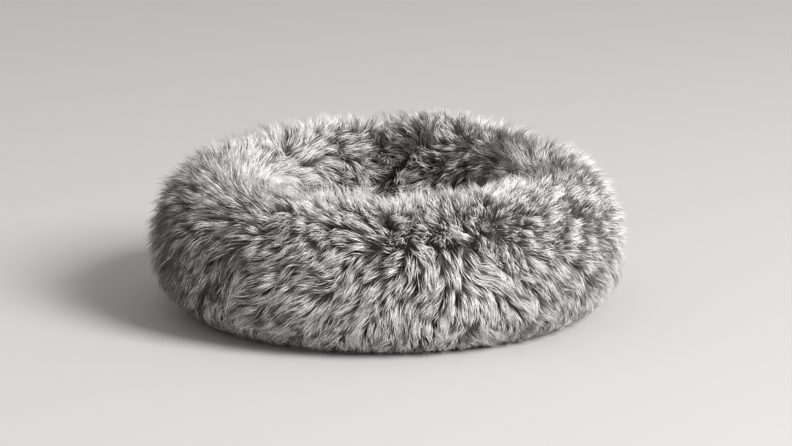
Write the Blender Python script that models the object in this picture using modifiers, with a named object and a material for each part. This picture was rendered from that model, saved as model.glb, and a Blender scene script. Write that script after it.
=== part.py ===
"""Round faux-fur pet bed: a stuffed ring sewn to a padded nest floor, over a quilted base with a zip.

All sizes are in metres, +Z is up, and the origin is the middle of the face that the bed stands on.
-Y is the bed's front. Soft pieces are closed solids of their stuffed shape, and the fur pieces
include their pile, so their outer faces are where the tips of the pile lie.
"""
import math

import bmesh
import bpy
from mathutils import Matrix

# Overall sizes
OUTER_RADIUS = 0.300        # to the tips of the pile
RING_HEIGHT = 0.191         # crest of the ring, over the pile
RING_WIDTH = 0.184          # from the nest to the outside, over the pile
CREST_LEAN = 0.26           # share of a point's height that it gains per metre towards the rear
ROUNDNESS = 2.3             # exponent of the ring's section: 2 is an ellipse, more is squarer

# Soft layers
PILE = 0.034                # length of the pile that stands on the fur's backing
CASING_WALL = 0.0008
CLEARANCE = 0.0003          # between neighbouring pieces
SEAM_CLEARANCE = 0.0006     # between fur pieces that meet at a seam
STUFFING_SLIT_LENGTH = 0.120
STUFFING_SLIT_WIDTH = 0.006

# Nest floor
FLOOR_SEAM_HEIGHT = 0.026   # where the ring's fur meets the floor's fur
FLOOR_PILE_HEIGHT = 0.063   # tips of the pile in the middle of the nest
FLOOR_EDGE_DROP = 0.010     # how much lower the floor's pile lies at its edge
CUSHION_SPACE = 0.0005      # between the floor pad and the ring's narrowest backing, measured flat
CUSHION_ROUNDNESS = 4.0

# Base
BASE_SEAM_HEIGHT = 0.0028   # of the lowest tips of the ring's pile, at the base's edge
ZIP_GAP = 0.014             # width of the slot that the zip lies in
ZIP_END_SPACE = 0.012       # how far the slot runs past the coils at the closed end
PULL_SPACE = 0.0015         # between the pull's tip and the slot's other end, with the zip open

# Zip
ZIP_INSET = 0.036           # from the base's edge to the end of the coils
TAPE_WIDTH = 0.0136
TAPE_THICKNESS = 0.0005
TAPE_END = 0.009            # tape past each end of the coils
COIL_WIDTH = 0.0026
COIL_HEIGHT = 0.0020
COIL_GAP = 0.0010           # between the two coils, for the slider's post
STOP_LENGTH = 0.0030
STOP_HEIGHT = 0.0030

# Slider and pull
PLATE_LENGTH = 0.0100
PLATE_THICKNESS = 0.0009
PLATE_BEVEL = 0.0003
FLANGE_WIDTH = 0.0007
FLANGE_INSET = 0.0001       # of the flanges' and legs' faces from the faces that they stand on
RUNNING_CLEARANCE = 0.00020
TAPE_CLEARANCE = 0.00015
POST_LENGTH = 0.0022
POST_WIDTH = 0.0006
BRIDGE_LENGTH = 0.0066
BRIDGE_WIDTH = 0.0018
BRIDGE_THICKNESS = 0.0008
BRIDGE_OPENING = 0.0014
FLOOR_CLEARANCE = 0.0004    # under the bridge, so that the metal never touches the floor
PIN_DIAMETER = 0.0010
PULL_LENGTH = 0.0240
PULL_WIDTH = 0.0056
PULL_THICKNESS = 0.0010
PULL_WINDOW_LENGTH = 0.0050
PULL_WINDOW_WIDTH = 0.0030

# Care label, blank, inside the zip
LABEL_LENGTH = 0.045
LABEL_WIDTH = 0.022
LABEL_THICKNESS = 0.0003
LABEL_SETBACK = 0.004       # from the tape's outer edge

# Fineness
RING_STEPS = 36
SECTION_POINTS = 20
FLOOR_RINGS = 6
END_MARGIN = 0.03           # least share of a step between an arc's end and the point next to it
LONG_CUT = 1.0              # longer than the bed, for cutters that run right through

# Heights of the zip's layers, upwards from the floor
PIN_Z = FLOOR_CLEARANCE + BRIDGE_THICKNESS + BRIDGE_OPENING / 2
PLATE_Z = FLOOR_CLEARANCE + BRIDGE_THICKNESS + BRIDGE_OPENING
CHANNEL_Z = PLATE_Z + PLATE_THICKNESS
COIL_Z = CHANNEL_Z + RUNNING_CLEARANCE
CHANNEL_TOP_Z = COIL_Z + COIL_HEIGHT + RUNNING_CLEARANCE
SLIDER_TOP_Z = CHANNEL_TOP_Z + PLATE_THICKNESS
TAPE_Z = COIL_Z + (COIL_HEIGHT - TAPE_THICKNESS) / 2

# The base's quilting is as thick as the zip that lies in it
BASE_THICKNESS = TAPE_Z - CLEARANCE

# The stuffed pieces lie just over the zip's highest point
INNER_FLOOR = SLIDER_TOP_Z + 2 * CLEARANCE
RING_RADIUS = OUTER_RADIUS - RING_WIDTH / 2
BACKING_HALF_WIDTH = RING_WIDTH / 2 - PILE
BACKING_TOP = RING_HEIGHT - PILE
CUSHION_RADIUS = RING_RADIUS - BACKING_HALF_WIDTH - CUSHION_SPACE

# The base reaches to where the ring's section has risen to the seam's height
SEAM_RISE = (1 - 2 * BASE_SEAM_HEIGHT / RING_HEIGHT) ** (ROUNDNESS / 2)
BASE_RADIUS = RING_RADIUS + RING_WIDTH / 2 * (1 - SEAM_RISE ** 2) ** (1 / ROUNDNESS)
ZIP_LENGTH = 2 * (BASE_RADIUS - ZIP_INSET)
COIL_OUTER_Y = COIL_GAP / 2 + COIL_WIDTH
TAPE_INNER_Y = COIL_OUTER_Y + CLEARANCE
SLIDER_HALF_CHANNEL = COIL_OUTER_Y + RUNNING_CLEARANCE
STOP_HALF_LENGTH = ZIP_LENGTH / 2 + CLEARANCE + STOP_LENGTH
SLIDER_X = ZIP_LENGTH / 2 - PLATE_LENGTH / 2 - CLEARANCE
SLOT_CLOSED_END = ZIP_LENGTH / 2 + ZIP_END_SPACE
SLOT_OPEN_END = -SLIDER_X - PULL_LENGTH - PULL_SPACE

FUR_GREY = (0.33, 0.32, 0.31, 1.0)
LINING_WHITE = (0.78, 0.78, 0.76, 1.0)
FIBRE_WHITE = (0.90, 0.90, 0.88, 1.0)
BASE_GREY = (0.09, 0.09, 0.095, 1.0)
ZIP_GREY = (0.13, 0.13, 0.135, 1.0)
COIL_GREY = (0.16, 0.16, 0.165, 1.0)
NICKEL = (0.62, 0.61, 0.59, 1.0)
LABEL_WHITE = (0.85, 0.85, 0.82, 1.0)


def clear_scene():
    """Remove every object, so that the file can be run again from a text editor."""
    for obj in list(bpy.data.objects):
        bpy.data.objects.remove(obj, do_unlink=True)


def collection(name):
    """The collection of that name, made if it isn't there."""
    found = bpy.data.collections.get(name)
    if found is None:
        found = bpy.data.collections.new(name)
        bpy.context.scene.collection.children.link(found)
    return found


def material(name, colour, roughness, metallic=0.0):
    """A Principled material of one colour."""
    made = bpy.data.materials.get(name) or bpy.data.materials.new(name)
    made.use_nodes = True
    shader = made.node_tree.nodes["Principled BSDF"]
    shader.inputs["Base Color"].default_value = colour
    shader.inputs["Roughness"].default_value = roughness
    shader.inputs["Metallic"].default_value = metallic
    return made


def add_object(name, mesh, finish=None):
    """A named object for a mesh, in the bed's collection."""
    obj = bpy.data.objects.new(name, mesh)
    collection("pet_bed").objects.link(obj)
    if finish is not None:
        obj.data.materials.append(finish)
    return obj


def wire_profile(name, points, closed):
    """A mesh of one row of edges through (radius, height) points in the XZ plane."""
    mesh = bpy.data.meshes.new(name)
    corners = [(radius, 0.0, height) for radius, height in points]
    edges = [(i, i + 1) for i in range(len(corners) - 1)]
    if closed:
        edges.append((len(corners) - 1, 0))
    mesh.from_pydata(corners, edges, [])
    return mesh


def bake_modifiers(obj):
    """Replace the object's mesh by the one that its modifiers make."""
    evaluated = obj.evaluated_get(bpy.context.evaluated_depsgraph_get())
    mesh = bpy.data.meshes.new_from_object(evaluated)
    obj.modifiers.clear()
    obj.data = mesh


def turned(name, points, finish, closed=False, start=0.0, sweep=2 * math.pi, steps=RING_STEPS):
    """A profile turned about Z, from the start angle through the sweep, with its ends filled."""
    obj = add_object(name, wire_profile(name, points, closed), finish)
    screw = obj.modifiers.new("Turn", "SCREW")
    screw.axis = "Z"
    screw.angle = sweep
    screw.steps = steps
    screw.render_steps = steps
    screw.use_merge_vertices = True
    screw.merge_threshold = 0.00001
    bake_modifiers(obj)
    shape = bmesh.new()
    shape.from_mesh(obj.data)
    open_edges = [edge for edge in shape.edges if edge.is_boundary]
    if open_edges:
        bmesh.ops.holes_fill(shape, edges=open_edges, sides=0)
    bmesh.ops.rotate(shape, verts=shape.verts, matrix=Matrix.Rotation(start, 3, "Z"))
    bmesh.ops.recalc_face_normals(shape, faces=shape.faces)
    shape.to_mesh(obj.data)
    shape.free()
    obj.data.shade_smooth()
    return obj


def lean(obj):
    """Raise the piece towards the rear: each point's height grows by CREST_LEAN per metre of Y."""
    for corner in obj.data.vertices:
        corner.co.z *= 1 + CREST_LEAN * corner.co.y


def box(name, low, high, finish=None, bevel=0.0):
    """A box between two corners, placed by its location, with an optional bevel."""
    bpy.ops.mesh.primitive_cube_add(size=1.0)
    obj = bpy.context.object
    obj.name = name
    obj.data.name = name
    for owner in list(obj.users_collection):
        owner.objects.unlink(obj)
    collection("pet_bed").objects.link(obj)
    size = [high[i] - low[i] for i in range(3)]
    obj.data.transform(Matrix.Diagonal((*size, 1.0)))
    obj.location = [(high[i] + low[i]) / 2 for i in range(3)]
    if finish is not None:
        obj.data.materials.append(finish)
    if bevel:
        edge = obj.modifiers.new("Edges", "BEVEL")
        edge.width = bevel
        edge.segments = 1
    return obj


def as_cutter(obj):
    """Mark an object as a tool for a Boolean, which is not part of the bed."""
    for owner in list(obj.users_collection):
        owner.objects.unlink(obj)
    collection("cutters").objects.link(obj)
    obj.hide_render = True
    obj.display_type = "WIRE"
    return obj


def combine(obj, tool, operation):
    """Cut the object by a tool, or join the tool to it."""
    step = obj.modifiers.new(operation.title(), "BOOLEAN")
    step.operation = operation
    step.solver = "EXACT"
    step.object = as_cutter(tool)


def section_point(phi, half_width, low, high):
    """A point of the ring's section: a superellipse, phi 0 outwards and a quarter turn up."""
    power = 2 / ROUNDNESS
    across = math.copysign(abs(math.cos(phi)) ** power, math.cos(phi))
    along = math.copysign(abs(math.sin(phi)) ** power, math.sin(phi))
    return (RING_RADIUS + half_width * across,
            (low + high) / 2 + (high - low) / 2 * along)


def section_angle_at_radius(radius, half_width):
    """The angle, in the lower outer quarter, at which the section has this radius."""
    share = (radius - RING_RADIUS) / half_width
    return -math.acos(share ** (ROUNDNESS / 2))


def section_angle_at_height(height, low, high):
    """The angle, in the lower inner quarter, at which the section has this height."""
    share = ((low + high) / 2 - height) / ((high - low) / 2)
    return math.pi + math.asin(share ** (ROUNDNESS / 2))


def section_arc(start, end, half_width, low, high):
    """Section points from the start angle up over the crest to the end angle.

    Between its ends the arc takes the same angles as the closed sections, so nested layers keep
    their clearance all the way round.
    """
    step = 2 * math.pi / SECTION_POINTS
    first = math.ceil(start / step + END_MARGIN)
    last = math.floor(end / step - END_MARGIN)
    angles = [start] + [index * step for index in range(first, last + 1)] + [end]
    return [section_point(angle, half_width, low, high) for angle in angles]


def closed_section(half_width, low, high):
    """The whole section, from the outside downwards and round."""
    step = 2 * math.pi / SECTION_POINTS
    return [section_point(-index * step, half_width, low, high) for index in range(SECTION_POINTS)]


def fur_ring_profile():
    """Section of the fur strip: the pile's tips outside, the backing inside, open underneath."""
    half_width = RING_WIDTH / 2
    seam_radius = BASE_RADIUS + CLEARANCE
    tips = section_arc(section_angle_at_radius(seam_radius, half_width),
                       section_angle_at_height(FLOOR_SEAM_HEIGHT, 0.0, RING_HEIGHT),
                       half_width, 0.0, RING_HEIGHT)
    backing = section_arc(section_angle_at_radius(seam_radius, BACKING_HALF_WIDTH),
                          section_angle_at_height(FLOOR_SEAM_HEIGHT, INNER_FLOOR, BACKING_TOP),
                          BACKING_HALF_WIDTH, INNER_FLOOR, BACKING_TOP)
    return tips + backing[::-1]


def make_fur_ring(fur):
    """The two half-rings of fur, which meet at cross seams in front and behind."""
    seam_angle = SEAM_CLEARANCE / 2 / (RING_RADIUS - RING_WIDTH / 2)
    for name, start in (("fur_ring_left", math.pi / 2), ("fur_ring_right", -math.pi / 2)):
        strip = turned(name, fur_ring_profile(), fur, closed=True, start=start + seam_angle,
                       sweep=math.pi - 2 * seam_angle, steps=RING_STEPS // 2)
        lean(strip)


def floor_profile():
    """Section of the nest floor's fur, from the middle of its pile out and down to its backing."""
    half_width = RING_WIDTH / 2
    low = FLOOR_SEAM_HEIGHT + CLEARANCE
    edge_height = FLOOR_PILE_HEIGHT - FLOOR_EDGE_DROP

    def wall_radius(height):
        angle = section_angle_at_height(height, 0.0, RING_HEIGHT)
        return section_point(angle, half_width, 0.0, RING_HEIGHT)[0] - SEAM_CLEARANCE

    edge_radius = wall_radius(edge_height)
    crown = [(edge_radius * index / FLOOR_RINGS,
              FLOOR_PILE_HEIGHT - FLOOR_EDGE_DROP * (index / FLOOR_RINGS) ** 2)
             for index in range(FLOOR_RINGS)]
    side = [(wall_radius(edge_height + (low - edge_height) * index / 3),
             edge_height + (low - edge_height) * index / 3) for index in range(4)]
    return crown + side + [(0.0, low)]


def make_nest_floor(fur):
    """The round fur panel that the animal lies on."""
    lean(turned("nest_fur_panel", floor_profile(), fur))


def cushion_profile(inset):
    """Half a superellipse: the floor pad's section, from its top middle to its bottom middle."""
    radius = CUSHION_RADIUS - inset
    low = INNER_FLOOR + inset
    high = FLOOR_SEAM_HEIGHT - inset
    power = 2 / CUSHION_ROUNDNESS
    points = []
    for index in range(SECTION_POINTS // 2 + 1):
        phi = math.pi / 2 - math.pi * index / (SECTION_POINTS // 2)
        along = math.copysign(abs(math.sin(phi)) ** power, math.sin(phi))
        across = 0.0 if index in (0, SECTION_POINTS // 2) else math.cos(phi) ** power
        points.append((radius * across, (low + high) / 2 + (high - low) / 2 * along))
    return points


def hollow(casing, inner):
    """Take the inner solid out of a casing."""
    inner.name = casing.name + "_core"
    combine(casing, inner, "DIFFERENCE")


def cut_slit(casing, y, top):
    """Open a casing's underside by its stuffing slit, which runs along X."""
    half = STUFFING_SLIT_LENGTH / 2
    cutter = box(casing.name + "_slit", (-half, y - STUFFING_SLIT_WIDTH / 2, -INNER_FLOOR),
                 (half, y + STUFFING_SLIT_WIDTH / 2, top))
    combine(casing, cutter, "DIFFERENCE")


def make_bolster(lining, fibre):
    """The ring's inner bag and the fibre in it."""
    outer = BACKING_HALF_WIDTH - CLEARANCE
    low = INNER_FLOOR + CLEARANCE
    high = BACKING_TOP - CLEARANCE
    casing = turned("bolster_casing", closed_section(outer, low, high), lining, closed=True)
    inner = CASING_WALL
    core = turned("core", closed_section(outer - inner, low + inner, high - inner), lining, closed=True)
    hollow(casing, core)
    lean(casing)
    lean(core)
    cut_slit(casing, RING_RADIUS, low + 10 * CASING_WALL)
    inner = CASING_WALL + CLEARANCE
    lean(turned("bolster_fill", closed_section(outer - inner, low + inner, high - inner), fibre,
                closed=True))


def make_cushion(lining, fibre):
    """The floor pad's inner bag and the fibre in it."""
    casing = turned("cushion_casing", cushion_profile(0.0), lining)
    core = turned("core", cushion_profile(CASING_WALL), lining)
    hollow(casing, core)
    lean(casing)
    lean(core)
    cut_slit(casing, CUSHION_RADIUS / 3, INNER_FLOOR + 5 * CASING_WALL)
    lean(turned("cushion_fill", cushion_profile(CASING_WALL + CLEARANCE), fibre))


def make_base(cloth):
    """Two half-discs of quilted cloth with a slot between them for the zip."""
    for name, side in (("base_panel_front", -1), ("base_panel_back", 1)):
        bpy.ops.mesh.primitive_cylinder_add(vertices=RING_STEPS, radius=BASE_RADIUS,
                                            depth=BASE_THICKNESS)
        disc = bpy.context.object
        disc.name = name
        disc.data.name = name
        for owner in list(disc.users_collection):
            owner.objects.unlink(disc)
        collection("pet_bed").objects.link(disc)
        disc.location.z = BASE_THICKNESS / 2
        disc.data.materials.append(cloth)
        edge = side * CLEARANCE / 2
        far = -side * LONG_CUT
        half = box(name + "_half", (-LONG_CUT, min(edge, far), -LONG_CUT),
                   (LONG_CUT, max(edge, far), LONG_CUT))
        combine(disc, half, "DIFFERENCE")
        slot = box(name + "_slot", (SLOT_OPEN_END, -ZIP_GAP / 2, -LONG_CUT),
                   (SLOT_CLOSED_END, ZIP_GAP / 2, LONG_CUT))
        combine(disc, slot, "DIFFERENCE")


def make_zip(tape, coil, metal):
    """Tapes, coils and stops: a front and a back one of each, and the one bottom stop."""
    half = ZIP_LENGTH / 2
    stop_z = COIL_Z + COIL_HEIGHT / 2 - STOP_HEIGHT / 2
    for name, side in (("front", -1), ("back", 1)):
        y_tape = sorted((side * TAPE_INNER_Y, side * (TAPE_INNER_Y + TAPE_WIDTH)))
        box("zip_tape_" + name, (-half - TAPE_END, y_tape[0], TAPE_Z),
            (half + TAPE_END, y_tape[1], TAPE_Z + TAPE_THICKNESS), tape)
        y_coil = sorted((side * COIL_GAP / 2, side * COIL_OUTER_Y))
        box("zip_coil_" + name, (-half, y_coil[0], COIL_Z),
            (half, y_coil[1], COIL_Z + COIL_HEIGHT), coil)
        box("zip_top_stop_" + name, (half + CLEARANCE, y_coil[0], stop_z),
            (STOP_HALF_LENGTH, y_coil[1], stop_z + STOP_HEIGHT), metal, PLATE_BEVEL)
    box("zip_bottom_stop", (-STOP_HALF_LENGTH, -COIL_OUTER_Y, stop_z),
        (-half - CLEARANCE, COIL_OUTER_Y, stop_z + STOP_HEIGHT), metal, PLATE_BEVEL)


def make_slider(metal, parent):
    """Slider: two plates on a post, with flanges either side of the tape and a bridge below."""
    half = PLATE_LENGTH / 2
    outer = SLIDER_HALF_CHANNEL + FLANGE_WIDTH
    slider = box("zip_slider", (-half, -outer, PLATE_Z), (half, outer, CHANNEL_Z), metal, PLATE_BEVEL)
    slider.parent = parent
    overlap = PLATE_THICKNESS / 3
    pieces = [
        ("upper_plate", (-half, -outer, CHANNEL_TOP_Z), (half, outer, SLIDER_TOP_Z)),
        ("post", (half - 2 * POST_LENGTH, -POST_WIDTH / 2, CHANNEL_Z - overlap),
         (half - POST_LENGTH, POST_WIDTH / 2, CHANNEL_TOP_Z + overlap)),
    ]
    low_lip = TAPE_Z - TAPE_CLEARANCE
    high_lip = TAPE_Z + TAPE_THICKNESS + TAPE_CLEARANCE
    for side in (-1, 1):
        y_lip = sorted((side * SLIDER_HALF_CHANNEL, side * (outer - FLANGE_INSET)))
        pieces.append(("lower_flange", (-half + PLATE_BEVEL, y_lip[0], CHANNEL_Z - overlap),
                       (half - PLATE_BEVEL, y_lip[1], low_lip)))
        pieces.append(("upper_flange", (-half + PLATE_BEVEL, y_lip[0], high_lip),
                       (half - PLATE_BEVEL, y_lip[1], CHANNEL_TOP_Z + overlap)))
        leg_end = BRIDGE_LENGTH / 2 - FLANGE_INSET
        x_leg = sorted((side * (BRIDGE_LENGTH / 2 - BRIDGE_THICKNESS), side * leg_end))
        y_leg = BRIDGE_WIDTH / 2 - FLANGE_INSET
        pieces.append(("bridge_leg", (x_leg[0], -y_leg, FLOOR_CLEARANCE + BRIDGE_THICKNESS / 2),
                       (x_leg[1], y_leg, PLATE_Z + overlap)))
    pieces.append(("bridge_bar", (-BRIDGE_LENGTH / 2, -BRIDGE_WIDTH / 2, FLOOR_CLEARANCE),
                   (BRIDGE_LENGTH / 2, BRIDGE_WIDTH / 2, FLOOR_CLEARANCE + BRIDGE_THICKNESS)))
    for name, low, high in pieces:
        piece = box("slider_" + name, low, high)
        combine(slider, piece, "UNION")
        piece.parent = parent


def make_pull(metal, parent):
    """Pull tab: a plate that hangs by a round pin in the slider's bridge, past a window."""
    tip = -PULL_LENGTH
    pull = box("zip_pull", (tip, -PULL_WIDTH / 2, -PULL_THICKNESS / 2),
               (0.0, PULL_WIDTH / 2, PULL_THICKNESS / 2), metal)
    pull.parent = parent
    window = box("pull_window", (-PIN_DIAMETER / 4 - PULL_WINDOW_LENGTH, -PULL_WINDOW_WIDTH / 2, -PIN_Z),
                 (PULL_LENGTH, PULL_WINDOW_WIDTH / 2, PIN_Z))
    combine(pull, window, "DIFFERENCE")
    window.parent = parent
    bpy.ops.mesh.primitive_cylinder_add(vertices=12, radius=PIN_DIAMETER / 2, depth=PULL_WIDTH)
    pin = bpy.context.object
    pin.name = "pull_pin"
    pin.data.transform(Matrix.Rotation(math.pi / 2, 4, "X"))
    combine(pull, pin, "UNION")
    pin.parent = parent


def pivot(name, location, parent=None):
    """An empty that stands on a joint."""
    empty = bpy.data.objects.new(name, None)
    collection("pet_bed").objects.link(empty)
    empty.location = location
    empty.parent = parent
    return empty


def make_label(cloth):
    """Blank care label on the base, just behind the zip."""
    y = TAPE_INNER_Y + TAPE_WIDTH + LABEL_SETBACK
    z = BASE_THICKNESS + CLEARANCE
    box("care_label", (-LABEL_LENGTH / 2, y, z), (LABEL_LENGTH / 2, y + LABEL_WIDTH, z + LABEL_THICKNESS),
        cloth)


def main():
    clear_scene()
    fur = material("faux_fur", FUR_GREY, 0.9)
    lining = material("casing_cloth", LINING_WHITE, 0.9)
    fibre = material("fibre", FIBRE_WHITE, 0.95)
    base = material("base_cloth", BASE_GREY, 0.8)
    tape = material("zip_tape", ZIP_GREY, 0.8)
    coil = material("zip_coil", COIL_GREY, 0.45)
    metal = material("nickel", NICKEL, 0.3, 1.0)
    label = material("label_cloth", LABEL_WHITE, 0.7)
    make_fur_ring(fur)
    make_nest_floor(fur)
    make_bolster(lining, fibre)
    make_cushion(lining, fibre)
    make_base(base)
    make_zip(tape, coil, metal)
    slide = pivot("slider_pivot", (SLIDER_X, 0.0, 0.0))
    make_slider(metal, slide)
    make_pull(metal, pivot("pull_pivot", (0.0, 0.0, PIN_Z), slide))
    make_label(label)


main()
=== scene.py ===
"""Looks of a round faux-fur pet bed: its pile, backing, quilted base, zip and stage."""
import math

import bpy
import numpy as np
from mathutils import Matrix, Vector


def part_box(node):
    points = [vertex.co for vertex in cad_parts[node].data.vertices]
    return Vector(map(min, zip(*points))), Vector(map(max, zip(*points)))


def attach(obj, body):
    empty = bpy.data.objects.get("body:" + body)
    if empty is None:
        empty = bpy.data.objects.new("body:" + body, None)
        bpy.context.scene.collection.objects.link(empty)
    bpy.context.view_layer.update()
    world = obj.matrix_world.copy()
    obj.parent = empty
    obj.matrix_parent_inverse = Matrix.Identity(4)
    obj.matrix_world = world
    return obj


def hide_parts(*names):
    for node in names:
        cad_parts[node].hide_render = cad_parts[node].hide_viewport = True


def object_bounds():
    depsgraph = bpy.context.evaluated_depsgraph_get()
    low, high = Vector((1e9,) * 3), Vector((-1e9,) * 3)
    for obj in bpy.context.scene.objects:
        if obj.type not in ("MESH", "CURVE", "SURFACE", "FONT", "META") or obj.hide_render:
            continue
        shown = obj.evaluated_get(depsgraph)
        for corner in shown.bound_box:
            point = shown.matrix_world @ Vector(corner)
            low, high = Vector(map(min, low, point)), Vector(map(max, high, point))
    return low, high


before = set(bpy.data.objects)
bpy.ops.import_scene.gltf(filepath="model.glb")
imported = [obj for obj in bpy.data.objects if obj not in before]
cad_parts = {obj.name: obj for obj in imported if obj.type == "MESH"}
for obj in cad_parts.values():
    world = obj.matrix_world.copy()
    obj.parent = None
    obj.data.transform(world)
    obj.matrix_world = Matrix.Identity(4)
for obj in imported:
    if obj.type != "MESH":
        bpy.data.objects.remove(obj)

bl_info = {
    "name": "Faux-fur pet bed",
    "version": (1, 0, 0),
    "blender": (4, 5, 0),
    "location": "3D View > Sidebar > Pet bed",
    "description": "Builds the pile, backing, base, zip and stage of a round pet bed",
    "category": "Object",
}

CAD_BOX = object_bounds()

# The ring, as the frame gives it, and the values that its section is drawn with
ROUNDNESS = 2.3
CREST_LEAN = 0.26
PILE_DEPTH = 0.034
RING_WIDTH = 0.184
OUTER_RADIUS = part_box("fur_ring_right")[1].x
RING_RADIUS = OUTER_RADIUS - RING_WIDTH / 2
RING_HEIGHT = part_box("fur_ring_left")[1].z / (1 + CREST_LEAN * RING_RADIUS)
BASE_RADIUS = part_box("base_panel_front")[1].x
BACKING_HALF_WIDTH = RING_WIDTH / 2 - PILE_DEPTH
BACKING_TOP = RING_HEIGHT - PILE_DEPTH
BACKING_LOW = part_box("cushion_casing")[0].z
FLOOR_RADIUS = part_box("nest_fur_panel")[1].x
BASE_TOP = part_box("base_panel_front")[1].z

# The fur's cloth: its cut, its place on the ring, and the grids that it is drawn on
CLOTH_THICKNESS = 0.0012
BACKING_OUT = 0.0030
PHI_OUTER = math.radians(-64)
PHI_INNER = math.radians(222)
BACKING_COLUMNS = 100
BACKING_ROWS = 75
HEM_ROWS = 5
NEST_COLUMNS = 96
NEST_ROWS = 30
NEST_CROWN = 0.0025
NEST_PILE_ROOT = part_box("cushion_casing")[1].z + 0.0035

# The stuffed covers: voxel size, how far a point may move, and room left inside their nodes
BOLSTER_FACE = 0.010
BOLSTER_SWELL = 0.0020
BOLSTER_INSET = 0.0008
BOLSTER_COLUMNS = 144
BOLSTER_ROWS = 48
BOLSTER_LIFT = 0.0006
CUSHION_FACE = 0.006
CUSHION_SWELL = 0.0012
CUSHION_INSET = 0.0015
STUFFING_PRESSURE = 4
STUFFING_STEPS = 20

# The zip and the sewing
COIL_PITCH = 0.0015
COIL_WIRE = 0.00055
COIL_STEPS = 8
COIL_SIDES = 5
STITCH_PITCH = 0.0036
STITCH_SHARE = 0.70
THREAD = 0.0006
EDGE_SEAM = 0.0060
TAPE_SEAM = 0.0065
QUILT_PITCH = 0.050
QUILT_SLOPE = 0.009
GRIP_PITCH = 0.012
GRIP_DOT = 0.0017

# The pile: its limits, its pleats and parting, its sectors, and the seeds of its wandering
PILE_LOW = 0.0008
PILE_CEILING = CAD_BOX[1][2] - 0.001
PILE_SPRING = 0.015
PLEAT_SPACING = 0.042
PARTING = math.radians(97)
SECTORS = 8
SEED = 20
FLOW_SEED = 2265
SWIRL_AROUND_SEED = 7411
SWIRL_OVER_SEED = 8539
GOLDEN_SHARE = 0.6180339887

# The locks: the spread of their own lean around and over the ring, how flat they lie, and how their
# hairs are shared out, stray and draw together
LOCK_STRAY = (0.24, 0.18)
FLATTEST = 0.73
LOCK_LENGTHS = (0.80, 1.14)
LOCKS_IN_TUFT = 3
TUFT_PULL = 0.60
ROOT_SPREADS = (0.75, 1.35)
HAIR_LENGTHS = (0.76, 1.06)
FLYAWAYS_FROM = 0.90
FLYAWAY_LENGTH = 1.07
UNDERCOAT_LENGTH = 0.70
LOOSE_HOLD = 0.35
TIP_STRAY = 0.0023
BEND_STRAY = 0.0012
CURL = 0.0070
HAIR_STEPS = np.array([0.0, 0.34, 0.69, 1.0])

# The stage
FLOOR_REACH = 30.0
KEY_PLACE = (5.0, -3.95, 4.5)
KEY_TARGET = (0.0, 0.0, 0.10)
KEY_SIZE = 3.3

# Soft patches of the ring: degrees around from the right and over from the outside, and the spread
# each way in radians
PATCHES = {
    "crown": (300, 68, 0.30, 0.45),
    "right_end": (338, 56, 0.42, 0.90),
    "swept_left": (240, 76, 0.75, 0.72),
    "leaning_left": (255, 18, 0.50, 0.75),
    "swept_right": (322, 92, 0.42, 0.55),
    # The next four patches paint light and shade into the pile's tone: painted shade on the left flank,
    # painted light on the front, and painted shade on the far inner wall and the right rear shoulder
    "shaded_flank": (203, 20, 0.60, 1.10),
    "front": (288, 5, 0.52, 0.60),
    "shaded_far_wall": (42, 128, 0.90, 0.85),
    "shaded_shoulder": (22, 90, 0.60, 0.60),
}

# Lumps that stand out of the crest: degrees around, spread in radians, and height
CREST_PHI = math.radians(95)
CREST_SPREAD = 0.75
CREST_LUMPS = ((76, 0.20, 0.0085), (112, 0.20, 0.0055), (308, 0.30, 0.0080))


# ---------------- settings

class BedPileSettings(bpy.types.PropertyGroup):
    """Sizes and colours of the pile."""
    length: bpy.props.FloatProperty(
        name="Length", description="Length of a hair", default=0.040, unit="LENGTH")
    lock_radius: bpy.props.FloatProperty(
        name="Lock radius", description="How far a lock's roots spread", default=0.0064, unit="LENGTH")
    hair_width: bpy.props.FloatProperty(
        name="Hair width", description="Width of a hair at its thickest", default=0.00074, unit="LENGTH")
    locks: bpy.props.IntProperty(
        name="Locks", description="Locks in each sector of the ring", default=860)
    hairs: bpy.props.IntProperty(
        name="Hairs", description="Hairs in each lock", default=19)
    under: bpy.props.FloatProperty(
        name="Undercoat", description="Share of the hairs that are short and dark",
        default=0.40, subtype="FACTOR")
    gather: bpy.props.FloatProperty(
        name="Gather", description="How far a lock's tips draw together", default=0.92, subtype="FACTOR")
    root: bpy.props.FloatVectorProperty(
        name="Root", description="Colour at the roots", default=(0.046, 0.043, 0.039), subtype="COLOR")
    shaft: bpy.props.FloatVectorProperty(
        name="Shaft", description="Colour half way along", default=(0.170, 0.163, 0.153), subtype="COLOR")
    tip: bpy.props.FloatVectorProperty(
        name="Tip", description="Colour of the tips", default=(0.95, 0.95, 0.945), subtype="COLOR")


class BedStageSettings(bpy.types.PropertyGroup):
    """Floor, camera and lights."""
    floor: bpy.props.FloatVectorProperty(
        name="Floor", description="Colour of the floor", default=(0.61, 0.602, 0.592), subtype="COLOR")
    distance: bpy.props.FloatProperty(
        name="Distance", description="Camera to the bed's middle, along the floor",
        default=3.628, unit="LENGTH")
    height: bpy.props.FloatProperty(
        name="Height", description="Camera above the floor", default=0.904, unit="LENGTH")
    tilt: bpy.props.FloatProperty(
        name="Tilt", description="Camera tilt down from level", default=math.radians(12.41),
        subtype="ANGLE")
    aside: bpy.props.FloatProperty(
        name="Aside", description="Camera to the right of the bed's middle", default=0.0088,
        unit="LENGTH")
    lens: bpy.props.FloatProperty(
        name="Lens", description="Focal length", default=134.6, unit="CAMERA")
    key: bpy.props.FloatProperty(
        name="Key light", description="Power of the key light", default=860.0, unit="POWER")
    sky: bpy.props.FloatProperty(
        name="Sky", description="Strength of the light from all round", default=0.42)


# ---------------- shader maths

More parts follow.
